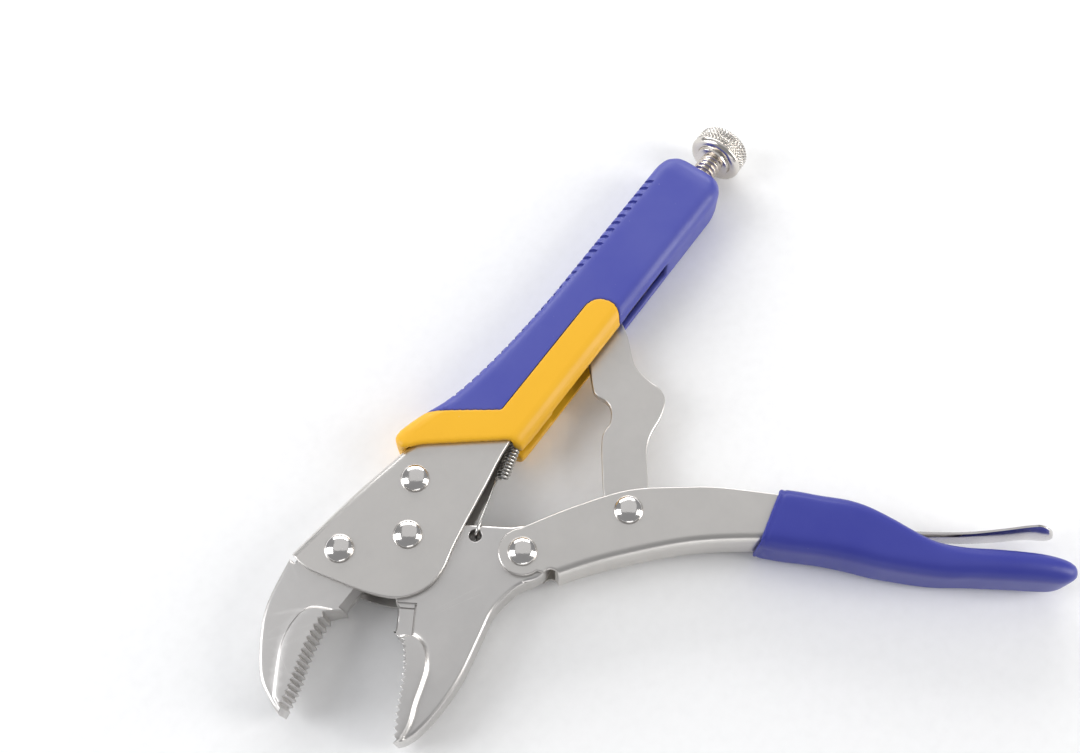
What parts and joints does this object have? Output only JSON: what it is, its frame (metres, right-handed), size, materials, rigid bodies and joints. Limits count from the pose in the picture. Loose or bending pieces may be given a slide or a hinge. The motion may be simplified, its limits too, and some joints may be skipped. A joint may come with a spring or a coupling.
{
  "type": "locking pliers",
  "caption": "Curved-jaw locking pliers with a wire cutter, adjusting screw, release lever and two-colour grips, jaws open.",
  "frame": {"origin": "the main pivot's axis, on the flat of that rivet's lower head, which is the plane the tool rests on when it lies on its side", "axes": "+X along the fixed handle towards the adjusting knob, +Y towards the back of the fixed handle, +Z through the tool's thickness, up"},
  "size_m": [0.249, 0.1983, 0.021],
  "materials": {
    "handle_steel": "satin nickel plate on pressed sheet",
    "jaw_steel": "satin nickel plate on a forging, lightly scratched",
    "rivet_steel": "polished nickel plate",
    "screw_steel": "nickel plate on turned and knurled steel",
    "spring_steel": "bright drawn wire",
    "blue_grip": "soft moulded plastic, satin",
    "yellow_grip": "soft moulded plastic, satin"
  },
  "bodies": {
    "fixed_frame": {"upper_handle": "handle_steel", "fixed_jaw": "jaw_steel", "front_jaw_rivet": "rivet_steel", "rear_jaw_rivet": "rivet_steel", "main_pivot_rivet": "rivet_steel", "spring_anchor_pin": "handle_steel", "threaded_bush": "handle_steel", "fixed_grip": "blue_grip", "grip_guard": "yellow_grip", "tension_spring": "spring_steel"},
    "moving_jaw": {"movable_jaw": "jaw_steel"},
    "moving_handle": {"lower_handle": "handle_steel", "handle_pivot_rivet": "rivet_steel", "toggle_rivet": "rivet_steel", "lower_grip": "blue_grip", "release_pin": "handle_steel"},
    "link": {"toggle_link": "handle_steel"},
    "lever": {"release_lever": "rivet_steel"},
    "hook": {"spring_hook": "spring_steel"},
    "screw_rod": {"adjusting_screw": "screw_steel"},
    "knob": {"adjusting_knob": "screw_steel"}
  },
  "joints": [
    {"name": "jaw_pivot", "type": "hinge", "parent": "fixed_frame", "child": "moving_jaw", "pos_m": [0, 0, 0.0105], "axis": [0, 0, 1], "range_deg": [-32.2, 0], "stiffness_Nm_per_rad": 0.37, "springref_deg": 9.17},
    {"name": "handle_pivot", "type": "hinge", "parent": "moving_jaw", "child": "moving_handle", "pos_m": [0.01643, -0.03172, 0.0105], "axis": [0, 0, 1], "range_deg": [0, 85.41]},
    {"name": "toggle_pivot", "type": "hinge", "parent": "moving_handle", "child": "link", "pos_m": [0.0463, -0.05053, 0.0105], "axis": [0, 0, 1], "range_deg": [-77.65, 0]},
    {"name": "release_lever_pivot", "type": "hinge", "parent": "moving_handle", "child": "lever", "pos_m": [0.08087, -0.11142, 0.0105], "axis": [0, 0, 1], "range_deg": [-4, 0]},
    {"name": "spring_hook_slide", "type": "slide", "parent": "fixed_frame", "child": "hook", "axis": [-0.9364, -0.3509, 0], "range_m": [0, 0.01147], "deforming": ["tension_spring"]},
    {"name": "screw_slide", "type": "slide", "parent": "fixed_frame", "child": "screw_rod", "axis": [1, 0, 0], "range_m": [0, 0.012]},
    {"name": "knob_turn", "type": "hinge", "parent": "screw_rod", "child": "knob", "pos_m": [0.174, 0, 0.0105], "axis": [1, 0, 0], "range_deg": [0, 2469]}
  ],
  "couplings": [
    {"joint": "handle_pivot", "follows": "jaw_pivot", "ratio": -2.6522},
    {"joint": "toggle_pivot", "follows": "jaw_pivot", "ratio": 2.4112},
    {"joint": "spring_hook_slide", "follows": "jaw_pivot", "m_per_rad": -0.020391},
    {"joint": "knob_turn", "follows": "screw_slide", "rad_per_m": 3590.4}
  ]
}
